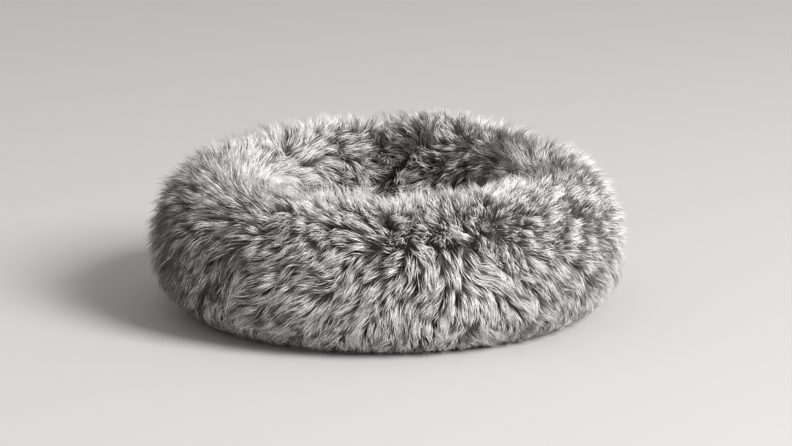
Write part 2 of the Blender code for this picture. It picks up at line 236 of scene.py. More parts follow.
class Wire:
    """A socket that does arithmetic: each operator adds a Math node."""

    def __init__(self, finish, socket):
        self.finish = finish
        self.socket = socket

    def math(self, operation, first, second):
        return self.finish.node("ShaderNodeMath", {"operation": operation}, {0: first, 1: second})

    def __add__(self, other):
        return self.math("ADD", self, other)

    def __radd__(self, other):
        return self.math("ADD", other, self)

    def __sub__(self, other):
        return self.math("SUBTRACT", self, other)

    def __rsub__(self, other):
        return self.math("SUBTRACT", other, self)

    def __mul__(self, other):
        return self.math("MULTIPLY", self, other)

    def __rmul__(self, other):
        return self.math("MULTIPLY", other, self)

    def __pow__(self, other):
        return self.math("POWER", self, other)

    def wave(self):
        return self.math("SINE", self, 0.0)


class Finish:
    """A material being wired up."""

    def __init__(self, name):
        self.material = bpy.data.materials.new(name)
        self.material.use_nodes = True
        self.tree = self.material.node_tree
        self.shader = self.tree.nodes["Principled BSDF"]

    def node(self, kind, settings=None, inputs=None, output=0):
        """Add a node, set it, fill or link its sockets, and return one of its outputs."""
        made = self.tree.nodes.new(kind)
        for name, value in (settings or {}).items():
            setattr(made, name, value)
        for key, value in (inputs or {}).items():
            self.feed(made.inputs[key], value)
        return Wire(self, made.outputs[output])

    def feed(self, socket, value):
        """Link a wire to a socket, or set the socket's own value."""
        if isinstance(value, Wire):
            self.tree.links.new(value.socket, socket)
        else:
            socket.default_value = value

    def set(self, **values):
        """Feed the shader: words in a socket's name are joined by underscores."""
        for name, value in values.items():
            self.feed(self.shader.inputs[name.replace("_", " ").title().replace("Ior", "IOR")], value)

    def blend(self, share, first, second):
        """A colour between two."""
        return self.node("ShaderNodeMix", {"data_type": "RGBA"}, {0: share, 6: first, 7: second}, 2)

    def step(self, value, low, high):
        """A smooth step from 0 at low to 1 at high."""
        return self.node("ShaderNodeMapRange", {"interpolation_type": "SMOOTHSTEP"},
                         {"Value": value, "From Min": low, "From Max": high})

    def position(self):
        """The point on the piece."""
        return self.node("ShaderNodeTexCoord", output=3)

    def parts(self, vector):
        """The three parts of a vector."""
        made = self.tree.nodes.new("ShaderNodeSeparateXYZ")
        self.feed(made.inputs[0], vector)
        return [Wire(self, made.outputs[index]) for index in range(3)]

    def noise(self, scale, detail=2.0, rough=0.5):
        """Cloudy noise over the piece, from 0 to 1."""
        return self.node("ShaderNodeTexNoise", inputs={
            "Vector": self.position(), "Scale": scale, "Detail": detail, "Roughness": rough})

    def bump(self, height, distance):
        """Relief from a height."""
        self.set(normal=self.node("ShaderNodeBump", inputs={"Height": height, "Distance": distance}))


def colour(values):
    """A colour with its alpha."""
    return (*values, 1.0)


# ---------------- mesh helpers

def new_mesh(name, points, faces):
    """A smooth object from arrays of points and of faces with equal numbers of corners."""
    mesh = bpy.data.meshes.new(name)
    sides = faces.shape[1]
    mesh.vertices.add(len(points))
    mesh.vertices.foreach_set("co", points.astype(np.float32).ravel())
    mesh.loops.add(faces.size)
    mesh.loops.foreach_set("vertex_index", faces.astype(np.int32).ravel())
    mesh.polygons.add(len(faces))
    mesh.polygons.foreach_set("loop_start", np.arange(0, faces.size, sides, dtype=np.int32))
    mesh.polygons.foreach_set("use_smooth", np.ones(len(faces), bool))
    mesh.update(calc_edges=True)
    obj = bpy.data.objects.new(name, mesh)
    bpy.context.scene.collection.objects.link(obj)
    return obj


def grid_faces(rows, columns, wrap_rows=False, wrap_columns=False):
    """Quads over a grid of points, each row after the last, going round where asked."""
    row = np.arange(rows if wrap_rows else rows - 1)[:, None]
    column = np.arange(columns if wrap_columns else columns - 1)[None, :]
    next_row = (row + 1) % rows
    next_column = (column + 1) % columns
    quads = np.stack([row * columns + column, next_row * columns + column,
                      next_row * columns + next_column, row * columns + next_column], -1)
    return quads.reshape(-1, 4)


def wander(theta, along, seed, turns, runs, count=10):
    """Smooth random field: a sum of cosines of whole turns of theta and of runs of the other parameter."""
    rng = np.random.default_rng(seed)
    around = rng.integers(0, turns + 1, count) * rng.choice([-1, 1], count)
    across = rng.uniform(-runs, runs, count)
    phase = rng.uniform(0, 2 * np.pi, count)
    waves = np.cos(theta[..., None] * around + along[..., None] * across + phase)
    return waves.sum(-1) * math.sqrt(2 / count)


def bell(value, centre, width):
    """A bell curve of height 1."""
    return np.exp(-((value - centre) / width) ** 2)


def turn_between(theta, centre):
    """Angle from centre to theta, from minus half a turn to half a turn."""
    return (theta - centre + np.pi) % (2 * np.pi) - np.pi


def unit(vectors):
    """Vectors of length 1."""
    return vectors / np.maximum(np.linalg.norm(vectors, axis=-1, keepdims=True), 1e-9)


# ---------------- the ring's shape

def signed_power(value, power):
    """A power that keeps the sign."""
    return np.sign(value) * np.abs(value) ** power


def polar(theta, radius, height):
    """Points at an angle round the middle, a radius and a height."""
    return np.stack([radius * np.cos(theta), radius * np.sin(theta), height], -1)


def ring_lumps(theta, phi):
    """How far the stuffing pushes the fur out: soft random lumps, largest on the crest and smallest
    under the ring, and the crest's own."""
    crest = bell(phi, CREST_PHI, CREST_SPREAD)
    lumps = np.maximum(0.0028 * (wander(theta, phi, SEED + 1, 7, 1.4) + 1), 0)
    lumps = lumps * (0.35 + 0.65 * crest) * (0.55 + 0.45 * np.sin(phi))
    for around, spread, height in CREST_LUMPS:
        lumps = lumps + height * crest * bell(turn_between(theta, math.radians(around)), 0, spread)
    return lumps


def ring_surface(theta, phi, half_width, low, high):
    """Points and outward normals of a layer of the ring.

    The section is a superellipse turned about Z: its width and height go as the cosine and sine of
    phi to the power 2/n. Heights grow towards the rear, and lumps push points along the normal.
    """
    power = 2 / ROUNDNESS
    cos_phi = np.cos(phi)
    sin_phi = np.sin(phi)
    radius = RING_RADIUS + half_width * signed_power(cos_phi, power)
    half_height = (high - low) / 2
    height = (high + low) / 2 + half_height * signed_power(sin_phi, power)
    outward = signed_power(cos_phi, 2 - power) / half_width
    upward = signed_power(sin_phi, 2 - power) / half_height
    size = np.sqrt(outward ** 2 + upward ** 2)
    outward = outward / size
    upward = upward / size
    push = ring_lumps(theta, phi)
    radius = radius + push * outward
    height = height + push * upward
    height = height * (1 + CREST_LEAN * radius * np.sin(theta))
    return polar(theta, radius, height), polar(theta, outward, upward)


def backing_surface(theta, phi):
    """The face of the fur's backing that the pile stands on."""
    return ring_surface(theta, phi, BACKING_HALF_WIDTH + BACKING_OUT, BACKING_LOW, BACKING_TOP + BACKING_OUT)


# ---------------- the pile

def brushing(theta, phi):
    """Which way the pile lies: its share around the ring and its share over it.

    It falls away from a wandering parting near the crest, runs left along the front left of the
    crest and right along its right, and draws together on the pleats' ridges round the right end.
    """
    parting = PARTING + 0.10 * wander(theta, 0 * phi, SEED + 2, 7, 0)
    parting = parting - 0.30 * bell(turn_between(theta, math.radians(303)), 0, 0.17)
    over = np.tanh((phi - parting) / 0.50) + 0.28 * swirl(theta, phi, SWIRL_OVER_SEED)
    side, crown = standing(theta, phi)
    around = 0.34 * wander(theta, phi, FLOW_SEED, 9, 1.8)
    around = (around + 0.36 * swirl(theta, phi, SWIRL_AROUND_SEED)) * (1 - 0.85 * side)
    sweep = around - 1.20 * patch("swept_left", theta, phi)
    sweep = sweep - 0.70 * patch("leaning_left", theta, phi) + 0.75 * patch("swept_right", theta, phi)
    around = 1.15 * np.tanh(sweep / 1.15)
    _, pull_around, pull_over = pleats(theta, phi)
    around = around * (1 - 0.5 * crown) + 0.95 * side * pull_around
    return around, over * (1 - 0.85 * side) * (1 - 0.45 * crown) + 0.95 * side * pull_over


def swirl(theta, phi, seed):
    """Fine swirls of the pile, a few centimetres across."""
    return wander(theta, phi, seed, 26, 7.0, 16)


def patch(name, theta, phi):
    """A soft patch of the ring: a bell curve around it times one over it."""
    around, over, spread_around, spread_over = PATCHES[name]
    across = bell(turn_between(theta, math.radians(around)), 0, spread_around)
    return across * bell(phi, math.radians(over), spread_over)


def standing(theta, phi):
    """Where the pile stands up: round the right end, and at a crown on the right of the front."""
    return np.tanh(1.9 * patch("right_end", theta, phi)), patch("crown", theta, phi)


def pleats(theta, phi):
    """The pleats that circle the crown every few centimetres, bent by noise: how near a place is to
    a pleat's ridge, 1 on it, and the way to that ridge, as a share around and a share over."""
    crown_around, crown_over, _, _ = PATCHES["crown"]
    around = turn_between(theta, math.radians(crown_around)) * OUTER_RADIUS
    over = (phi - math.radians(crown_over)) * RING_WIDTH / 2
    far = np.hypot(around, over) + 1e-6
    phase = 2 * np.pi * far / PLEAT_SPACING + 1.5 * wander(theta, phi, SEED + 4, 8, 3.0)
    pull = 0.10 - np.sin(phase)
    return (0.5 + 0.5 * np.cos(phase)) ** 1.5, pull * around / far, pull * over / far


def pile_length(theta, phi):
    """Share of a full hair: shorter where the ring tucks under and where the pile stands up."""
    side, crown = standing(theta, phi)
    edge, _, _ = pleats(theta, phi)
    tuck = 1 - 0.42 / (1 + np.exp((phi + 0.45) / 0.12))
    return tuck * (1 - side * (0.46 - 0.16 * edge)) * (1 - 0.26 * crown)


def hair_points(rng, settings, roots, surface, brush, length):
    """Centre lines of the hairs of many locks, as locks by hairs by four points, and which hairs are
    flyaways and which are short.

    A hair is a quadratic curve. It leaves the backing steeply, bends over the way it is brushed,
    and is drawn towards its lock's tip, which is itself drawn towards the tip of its tuft.
    """
    locks = len(roots[0])
    hairs = settings.hairs
    root, normal = surface(*roots)
    ring_way = unit(np.stack([-root[:, 1], root[:, 0], 0 * root[:, 0]], -1))
    over_way = np.cross(normal, ring_way)
    around, over = brush(*roots)
    around = around + LOCK_STRAY[0] * rng.standard_normal(locks)
    over = over + LOCK_STRAY[1] * rng.standard_normal(locks)
    strength = np.hypot(around, over)
    lie = FLATTEST * np.tanh(1.2 * strength) / np.maximum(strength, 1e-6)
    way = lie[:, None] * (around[:, None] * ring_way + over[:, None] * over_way)
    rise = np.sqrt(np.maximum(1 - (way ** 2).sum(-1), 0.05)) * 0.97
    reach = length * rng.uniform(*LOCK_LENGTHS, locks)
    lock_tip = root + reach[:, None] * (way + rise[:, None] * normal)

    chosen = rng.choice(locks, max(locks // LOCKS_IN_TUFT, 1), replace=False)
    nearest = ((root[:, None, :] - root[None, chosen, :]) ** 2).sum(-1).argmin(1)
    lain = np.tanh(strength)[:, None]
    lock_tip = lock_tip + TUFT_PULL * lain * (lock_tip[chosen][nearest] - lock_tip)

    wide = settings.lock_radius * rng.uniform(*ROOT_SPREADS, (locks, 1))
    spread = wide * np.sqrt(rng.uniform(0, 1, (locks, hairs)))
    angle = rng.uniform(0, 2 * np.pi, (locks, hairs))
    offset = (spread * np.cos(angle))[..., None] * ring_way[:, None]
    offset = offset + (spread * np.sin(angle))[..., None] * over_way[:, None]
    start = root[:, None] + offset
    own = rng.uniform(*HAIR_LENGTHS, (locks, hairs))
    kind = rng.uniform(0, 1, (locks, hairs))
    flyaway = kind > FLYAWAYS_FROM
    short = kind < settings.under
    own = np.where(flyaway, own * FLYAWAY_LENGTH, np.where(short, own * UNDERCOAT_LENGTH, own))
    gather = settings.gather * rng.uniform(0.70, 1.10, (locks, 1)) * (0.20 + 0.80 * lain)
    hold = np.where(flyaway | short, LOOSE_HOLD * gather, gather)[..., None]
    line = (lock_tip - root)[:, None] * own[..., None]
    loose_tip = start + line
    tight_tip = root[:, None] + line + 0.16 * offset
    tip = loose_tip + hold * (tight_tip - loose_tip)
    tip = tip + rng.standard_normal(tip.shape) * TIP_STRAY
    lift = (0.58 * reach)[:, None, None] * own[..., None]
    curl = (CURL * wander(*roots, SEED + 10, 30, 8.0, 16))[:, None] * lain * unit(np.cross(normal, way))
    tip = tip + curl[:, None]
    middle = start + lift * (0.84 * normal + 0.34 * way)[:, None] - 0.8 * curl[:, None]
    middle = middle + 0.30 * hold * (root[:, None] - start)
    middle = middle + rng.standard_normal(tip.shape) * BEND_STRAY
    steps = HAIR_STEPS[None, None, :, None]
    lines = (1 - steps) ** 2 * start[:, :, None] + 2 * steps * (1 - steps) * middle[:, :, None]
    return lines + steps ** 2 * tip[:, :, None], flyaway, short


def kept_in(rng, lines):
    """Hairs kept off the floor and the nest's floor, tucked in under the ring's outside, where it
    curves away from the floor, and pressed down where they pass the crest's top."""
    height = lines[..., 2]
    radius = np.hypot(lines[..., 0], lines[..., 1])
    level = 2 * height / (1 + CREST_LEAN * lines[..., 1]) / RING_HEIGHT
    bulge = np.clip(1 - np.abs(1 - level) ** ROUNDNESS, 0, 1) ** (1 / ROUNDNESS)
    outside = RING_RADIUS + RING_WIDTH / 2 * bulge
    outside = np.maximum(outside, BASE_RADIUS) + rng.uniform(-0.002, 0.010, (len(lines), 1))
    under = 1 / (1 + np.exp((level - 0.55) / 0.09))
    shrink = 1 - 0.85 * under * np.maximum(radius - outside, 0) / np.maximum(radius, 1e-6)
    lines[..., :2] *= shrink[..., None]
    inside = radius < FLOOR_RADIUS - 0.004
    height = np.maximum(height, np.where(inside, NEST_PILE_ROOT, PILE_LOW))
    above = np.maximum(height - PILE_CEILING, 0)
    lines[..., 2] = height - above + PILE_SPRING * np.tanh(above / PILE_SPRING)
    return lines


def hair_mesh(name, lines, widths, tones):
    """Closed three-sided spindles along centre lines, with a map of tone across and place along.

    A spindle comes to a point at its root and its tip, with two rings of three points between,
    each square to the hair.
    """
    count = len(lines)
    along = unit(np.gradient(lines, axis=1)[:, 1:3])
    side = unit(np.cross(along, np.broadcast_to((0.31, 0.17, 0.93), along.shape)))
    other = np.cross(along, side)
    turn = np.array([0, 2 * np.pi / 3, 4 * np.pi / 3])
    radii = widths[:, None] / 2 * np.array([1.0, 0.88])[None]
    round_way = np.cos(turn)[:, None] * side[:, :, None] + np.sin(turn)[:, None] * other[:, :, None]
    rings = lines[:, 1:3, None] + radii[:, :, None, None] * round_way
    points = np.concatenate([lines[:, :1], rings.reshape(count, 6, 3), lines[:, 3:]], 1)
    faces = []
    for k in range(3):
        after = (k + 1) % 3
        faces += [(0, 1 + after, 1 + k), (1 + k, 1 + after, 4 + after), (1 + k, 4 + after, 4 + k),
                  (4 + k, 4 + after, 7)]
    pattern = np.array(faces)
    faces = pattern[None] + 8 * np.arange(count)[:, None, None]
    obj = new_mesh(name, points.reshape(-1, 3), faces.reshape(-1, 3))
    across = np.array([0.0, -1.0, 1.0, 0.2, -1.0, 1.0, 0.2, 0.0]) * 0.006
    place = np.array([0.02, *np.repeat(HAIR_STEPS[1:3], 3), 0.98])
    place_at_corner = np.tile(place[pattern].ravel(), count)
    tone_at_corner = np.repeat(tones, pattern.size) + np.tile(across[pattern].ravel(), count)
    uvs = obj.data.uv_layers.new(name="OFBake")
    uvs.data.foreach_set("uv", np.stack([tone_at_corner, place_at_corner], -1).astype(np.float32).ravel())
    return obj


def ring_tones_and_painted_shade(theta, phi):
    """Soft patches of paler and darker pile, pale ridges at the right end with painted shade in the valleys
    between, painted shade on the left flank, far inner wall and right rear shoulder, and painted light on
    the front."""
    side, crown = standing(theta, phi)
    # Painted shade on the far inner wall and the right rear shoulder, which face away from the key light,
    # and on the left flank; painted light on the front, which faces the key light; the crown is a little
    # darker
    far_painted_shade = 0.52 * patch("shaded_far_wall", theta, phi) + 0.62 * patch("shaded_shoulder", theta, phi)
    shade = 0.60 * patch("shaded_flank", theta, phi) + 0.60 * np.tanh(far_painted_shade / 0.60)
    shade = shade + 0.06 * crown - 0.20 * patch("front", theta, phi)
    edge, _, _ = pleats(theta, phi)
    # Painted shade in the pleats' valleys at the right end: hairs there are darker in tone than those on the
    # ridges
    return 0.10 * wander(theta, phi, SEED + 5, 12, 3.0) + side * (0.85 * edge - 0.55) - shade


def nest_patches(theta, radius):
    """Soft patches of paler and darker pile on the nest floor."""
    return 0.12 + 0.08 * wander(theta, radius / FLOOR_RADIUS, SEED + 11, 4, 6.0)


def hair_tones(rng, patches, flyaway, short):
    """Tone of each hair, from 0.02, dark, to 0.98, pale: its patch's, which on the ring holds painted light
    and shade, its lock's own and its own, with a paler coat of long hairs over a dark undercoat."""
    own_lock = 0.22 * rng.standard_normal((len(flyaway), 1))
    own_hair = 0.10 * rng.standard_normal(flyaway.shape)
    tones = 0.66 + patches[:, None] + own_lock + own_hair + np.where(flyaway, 0.12, 0.0)
    tones = np.where(short, 0.5 * tones - 0.14, tones)
    tones = np.clip(tones, 0.02, 0.98)
    tones.flat[:2] = (0.02, 0.98)
    return tones


def pile_finish(settings):
    """Frosted fur: dark roots, charcoal shafts and white tips. A paler hair turns white nearer its root."""
    finish = Finish("frosted_pile")
    tone, along, _ = finish.parts(finish.node("ShaderNodeUVMap", {"uv_map": "OFBake"}))
    wake = 0.80 - 0.50 * tone
    grey = finish.step(along, 0.10, 0.60)
    pale = finish.step(along, wake, wake + 0.24)
    tip = finish.blend(finish.step(tone, 0.12, 0.52), colour([0.22 * value for value in settings.tip]),
                       colour(settings.tip))
    body = finish.blend(grey, colour(settings.root), colour(settings.shaft))
    finish.set(base_color=finish.blend(pale, body, tip), roughness=0.78 - 0.12 * along)
    finish.set(specular_ior_level=0.2, sheen_weight=0.45, sheen_roughness=0.5)
    return finish.material


def pile_piece(name, settings, rng, roots, surface, brush, patches, length, node):
    """One piece of pile, from its roots to its material."""
    lines, flyaway, short = hair_points(rng, settings, roots, surface, brush, length)
    tones = hair_tones(rng, patches(*roots), flyaway, short)
    widths = settings.hair_width * rng.uniform(0.72, 1.15, flyaway.size)
    piece = hair_mesh(name, kept_in(rng, lines.reshape(-1, 4, 3)), widths, tones.ravel())
    piece.data.materials.append(bpy.data.materials.get("frosted_pile") or pile_finish(settings))
    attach(piece, "bed")
    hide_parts(node)


class PETBED_OT_ring_pile(bpy.types.Operator):
    """Hair by hair pile of the ring, in eight sectors"""
    bl_idname = "petbed.ring_pile"
    bl_label = "Ring pile"

    def execute(self, context):
        settings = context.scene.bed_pile
        width = 2 * np.pi / SECTORS
        for index in range(SECTORS):
            rng = np.random.default_rng(SEED + 100 + index)
            roots = ring_roots(rng, settings.locks, index * width, width)
            node = "fur_ring_left" if SECTORS / 4 <= index < 3 * SECTORS / 4 else "fur_ring_right"
            pile_piece(f"ring_pile_{index + 1}", settings, rng, roots, backing_surface, brushing,
                       ring_tones_and_painted_shade, settings.length * pile_length(*roots), node)
        return {"FINISHED"}


def ring_roots(rng, count, start, width):
    """Lock roots spread evenly over a sector's cloth: the more cloth a stretch has, the more roots."""
    samples = np.linspace(PHI_OUTER, PHI_INNER, 400)
    points, _ = backing_surface(np.full(400, start + width / 2), samples)
    stretch = np.linalg.norm(np.diff(points, axis=0), axis=1)
    radius = np.hypot(points[:, 0], points[:, 1])
    weight = stretch * (radius[1:] + radius[:-1])
    share = np.concatenate([[0], np.cumsum(weight)]) / weight.sum()
    even = (np.arange(count) + rng.uniform(0, 1, count)) / count
    phi = np.interp(even, share, samples)
    golden = (np.arange(count) * GOLDEN_SHARE) % 1.0
    theta = start + width * ((golden + 0.5 / math.sqrt(count) * rng.standard_normal(count)) % 1.0)
    return theta, phi


def nest_surface(theta, radius):
    """Points and normals of the nest floor's backing, a low crown that rises towards the rear."""
    height = NEST_PILE_ROOT + NEST_CROWN * (1 - (radius / FLOOR_RADIUS) ** 2)
    height = height * (1 + CREST_LEAN * radius * np.sin(theta))
    points = polar(theta, radius, height)
    return points, np.broadcast_to(np.array([0.0, 0.0, 1.0]), points.shape)


def nest_brushing(theta, radius):
    """The nest's pile wanders every way, a little more towards the middle."""
    around = 0.34 * wander(theta, radius / FLOOR_RADIUS, SEED + 8, 3, 5.0)
    return around, 0.16 + 0.30 * wander(theta, radius / FLOOR_RADIUS, SEED + 9, 3, 5.0)


class PETBED_OT_nest(bpy.types.Operator):
    """Nest floor: its knitted backing and its pile"""
    bl_idname = "petbed.nest"
    bl_label = "Nest floor"

    def execute(self, context):
        settings = context.scene.bed_pile
        theta, radius = np.meshgrid(np.linspace(0, 2 * np.pi, NEST_COLUMNS, endpoint=False),
                                    np.linspace(0.002, FLOOR_RADIUS - 0.001, NEST_ROWS), indexing="ij")
        points, _ = nest_surface(theta, radius)
        points = np.concatenate([points.reshape(-1, 3), [[0, 0, NEST_PILE_ROOT + NEST_CROWN]]])
        rim = np.arange(NEST_COLUMNS) * NEST_ROWS
        middle = np.stack([rim, np.roll(rim, -1), np.full(NEST_COLUMNS, len(points) - 1)], -1)
        rings = split_quads(grid_faces(NEST_COLUMNS, NEST_ROWS, wrap_rows=True))
        piece = new_mesh("nest_fur_backing", points, np.concatenate([rings, middle[:, ::-1]]))
        finish_backing(piece)
        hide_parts("nest_fur_panel")
        rng = np.random.default_rng(SEED + 200)
        count = settings.locks * 8 // 10
        roots = (rng.uniform(0, 2 * np.pi, count), FLOOR_RADIUS * np.sqrt((np.arange(count) + 0.5) / count))
        pile_piece("nest_pile", settings, rng, roots, nest_surface, nest_brushing,
                   nest_patches, 0.9 * settings.length, "nest_fur_panel")
        return {"FINISHED"}


def split_quads(quads):
    """Two triangles for each quad."""
    return np.concatenate([quads[:, :3], quads[:, [0, 2, 3]]])


class PETBED_OT_backing(bpy.types.Operator):
    """Knitted backing of the ring's fur, in its two halves"""
    bl_idname = "petbed.backing"
    bl_label = "Ring backing"

    def execute(self, context):
        for name, start in (("left", math.pi / 2), ("right", -math.pi / 2)):
            theta, phi = np.meshgrid(np.linspace(start + 0.001, start + math.pi - 0.001, BACKING_COLUMNS),
                                     np.linspace(PHI_OUTER, PHI_INNER, BACKING_ROWS), indexing="ij")
            points, _ = backing_surface(theta, phi)
            hem = polar(theta[:, 0], BASE_RADIUS, np.full(BACKING_COLUMNS, BASE_TOP))
            share = np.linspace(0, 1, HEM_ROWS + 1)[None, :-1, None]
            turned_in = hem[:, None] + share * (points[:, :1] - hem[:, None])
            points = np.concatenate([turned_in, points], 1)
            piece = new_mesh(f"fur_backing_{name}", points.reshape(-1, 3),
                             grid_faces(BACKING_COLUMNS, BACKING_ROWS + HEM_ROWS))
            finish_backing(piece)
            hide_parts(f"fur_ring_{name}")
        return {"FINISHED"}


def finish_backing(piece):
    """Give a backing its thickness, its knit and its body."""
    wall = piece.modifiers.new("Thickness", "SOLIDIFY")
    wall.thickness = CLOTH_THICKNESS
    wall.offset = -1
    piece.data.materials.append(bpy.data.materials.get("knitted_backing") or knit_finish())
    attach(piece, "bed")


def knit_finish():
    """Charcoal knit: fine ribs with wandering loops."""
    finish = Finish("knitted_backing")
    x, y, z = finish.parts(finish.position())
    rib = ((x + y) * 2600.0).wave() * ((z * 2600.0).wave())
    fuzz = finish.noise(900.0)
    finish.set(base_color=finish.blend(fuzz, (0.030, 0.028, 0.026, 1), (0.075, 0.072, 0.068, 1)))
    finish.set(roughness=0.9)
    finish.bump(rib * 0.5 + fuzz, 0.0004)
    return finish.material


# ---------------- the stuffing

def swell(piece, face, limit):
    """Even out a closed cover's faces, blow it up as cloth with stuffing in it, and keep each point
    within a limit of its place."""
    grain = piece.modifiers.new("Even faces", "REMESH")
    grain.mode = "VOXEL"
    grain.voxel_size = face
    apply_modifiers(piece)
    before = mesh_points(piece.data)
    cover = piece.modifiers.new("Stuffing", "CLOTH")
    cover.settings.use_pressure = True
    cover.settings.uniform_pressure_force = STUFFING_PRESSURE
    cover.settings.effector_weights.gravity = 0
    for step in range(STUFFING_STEPS):
        bpy.context.scene.frame_set(step + 1)
    apply_modifiers(piece)
    bpy.context.scene.frame_set(1)
    move = mesh_points(piece.data) - before
    far = np.linalg.norm(move, axis=1, keepdims=True)
    after = before + move * np.minimum(1, limit / np.maximum(far, 1e-9))
    piece.data.vertices.foreach_set("co", after.astype(np.float32).ravel())
    piece.data.update()


def apply_modifiers(piece):
    """Make a piece's modifiers part of its mesh."""
    shaped = piece.evaluated_get(bpy.context.evaluated_depsgraph_get())
    mesh = bpy.data.meshes.new_from_object(shaped)
    piece.modifiers.clear()
    piece.data = mesh


def mesh_points(mesh):
    """A mesh's points as an array."""
    points = np.empty(len(mesh.vertices) * 3, np.float32)
    mesh.vertices.foreach_get("co", points)
    return points.reshape(-1, 3).astype(float)


def finish_cover(piece, face, limit, node):
    """Stuff a cover, smooth it and give it its cloth."""
    piece.data.materials.append(bpy.data.materials["casing_cotton"])
    swell(piece, face, limit)
    piece.data.polygons.foreach_set("use_smooth", np.ones(len(piece.data.polygons), bool))
    smooth = piece.modifiers.new("Smooth", "SUBSURF")
    smooth.levels = smooth.render_levels = 1
    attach(piece, "bed")
    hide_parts(node)


class PETBED_OT_stuffing(bpy.types.Operator):
    """Stuffed bolster under the ring's fur and thin cushion under the nest floor"""
    bl_idname = "petbed.stuffing"
    bl_label = "Stuffing"

    def execute(self, context):
        theta, phi = np.meshgrid(
            np.linspace(0, 2 * np.pi, BOLSTER_COLUMNS, endpoint=False),
            np.linspace(PHI_INNER - 2 * np.pi, PHI_INNER, BOLSTER_ROWS, endpoint=False), indexing="ij")
        points, _ = ring_surface(theta, phi, BACKING_HALF_WIDTH - BOLSTER_INSET,
                                 BACKING_LOW + BOLSTER_LIFT, BACKING_TOP - BOLSTER_INSET)
        faces = grid_faces(BOLSTER_COLUMNS, BOLSTER_ROWS, wrap_rows=True, wrap_columns=True)
        bolster = new_mesh("bolster_cover", points.reshape(-1, 3), faces)
        finish_cover(bolster, BOLSTER_FACE, BOLSTER_SWELL, "bolster_casing")
        cushion = cushion_mesh("cushion_cover", *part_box("cushion_casing"))
        finish_cover(cushion, CUSHION_FACE, CUSHION_SWELL, "cushion_casing")
        return {"FINISHED"}


def cushion_mesh(name, low, high):
    """A round pad: its radius goes as a small power of the cosine and its height as a power of the
    sine of a half turn from its bottom to its top, each closed by a flat fan."""
    columns, rows = NEST_COLUMNS, NEST_ROWS
    theta, turn = np.meshgrid(np.linspace(0, 2 * np.pi, columns, endpoint=False),
                              np.linspace(-np.pi / 2, np.pi / 2, rows), indexing="ij")
    radius = (high.x - CUSHION_INSET) * signed_power(np.maximum(np.cos(turn), 0.002), 0.35)
    half_height = (high.z - low.z - 2 * CUSHION_INSET) / 2
    height = (low.z + high.z) / 2 + half_height * signed_power(np.sin(turn), 0.8)
    points = polar(theta, radius, height).reshape(-1, 3)
    lowest = np.arange(columns) * rows
    highest = lowest + rows - 1
    ends = np.array([[0, 0, height.min()], [0, 0, height.max()]])
    under = np.stack([np.roll(lowest, -1), lowest, np.full(columns, len(points))], -1)
    over = np.stack([highest, np.roll(highest, -1), np.full(columns, len(points) + 1)], -1)
    faces = np.concatenate([split_quads(grid_faces(columns, rows, wrap_rows=True)), under, over])
    return new_mesh(name, np.concatenate([points, ends]), faces)


# ---------------- zip and stitches

class PETBED_OT_zip(bpy.types.Operator):
    """Spiral coils of the zip in the base"""
    bl_idname = "petbed.zip"
    bl_label = "Zip coils"

    def execute(self, context):
        nylon = coil_finish()
        for name in ("front", "back"):
            low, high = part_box(f"zip_coil_{name}")
            turns = round((high.x - low.x) / COIL_PITCH)
            wire = COIL_WIRE / 2
            turn = np.linspace(0, 2 * np.pi * turns, COIL_STEPS * turns + 1)
            x = np.linspace(low.x + wire, high.x - wire, len(turn))
            y = (low.y + high.y) / 2 + ((high.y - low.y) / 2 - wire) * np.cos(turn)
            z = (low.z + high.z) / 2 + ((high.z - low.z) / 2 - wire) * np.sin(turn)
            piece = tube(f"coil_{name}", np.stack([x, y, z], -1), wire, COIL_SIDES)
            piece.data.materials.append(nylon)
            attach(piece, "bed")
            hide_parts(f"zip_coil_{name}")
        return {"FINISHED"}


def tube(name, path, radius, sides):
    """A closed round tube: a circle square to the path at each of its points, and a flat fan at each end."""
    along = unit(np.gradient(path, axis=0))
    side = unit(np.cross(along, (0.0, 0.0, 1.0)))
    other = np.cross(along, side)
    turn = np.arange(sides) * 2 * np.pi / sides
    round_way = np.cos(turn)[:, None] * side[:, None] + np.sin(turn)[:, None] * other[:, None]
    rings = path[:, None] + radius * round_way
    count = len(path)
    points = np.concatenate([rings.reshape(-1, 3), path[:1], path[-1:]])
    around = np.arange(sides)
    start = np.stack([around, np.roll(around, -1), np.full(sides, count * sides)], -1)
    end = np.stack([np.roll(around, -1), around, np.full(sides, 1 + sides)], -1) + (count - 1) * sides
    walls = split_quads(grid_faces(count, sides, wrap_columns=True))
    return new_mesh(name, points, np.concatenate([walls, start, end]))


def stitches(name, places, ways, length, width):
    """Stitches: each a closed bar with round ends, its radius going as the square root of the sine of
    half a turn along it."""
    around = np.arange(6) * np.pi / 3
    along = np.linspace(0, np.pi, 7)[1:-1]
    ways = unit(ways)
    side = unit(np.cross(ways, (0.0, 0.0, 1.0)))
    out = np.sqrt(np.sin(along))[:, None, None] * width / 2 * (
        np.cos(around)[:, None] * side[:, None, None] + np.sin(around)[:, None] * np.array([0.0, 0.0, 1.0]))
    middle = -np.cos(along)[:, None, None] * length / 2 * ways[:, None, None]
    rings = places[:, None, None] + middle + out
    tips = places[:, None] + np.array([-0.5, 0.5])[:, None] * length * ways[:, None]
    points = np.concatenate([rings.reshape(len(places), 30, 3), tips], 1)
    ring = np.arange(6)
    start = np.stack([ring, np.roll(ring, -1), np.full(6, 30)], -1)
    end = np.stack([np.roll(ring, -1) + 24, ring + 24, np.full(6, 31)], -1)
    pattern = np.concatenate([split_quads(grid_faces(5, 6, wrap_columns=True)), start, end])
    faces = pattern[None] + 32 * np.arange(len(places))[:, None, None]
    return new_mesh(name, points.reshape(-1, 3), faces.reshape(-1, 3))


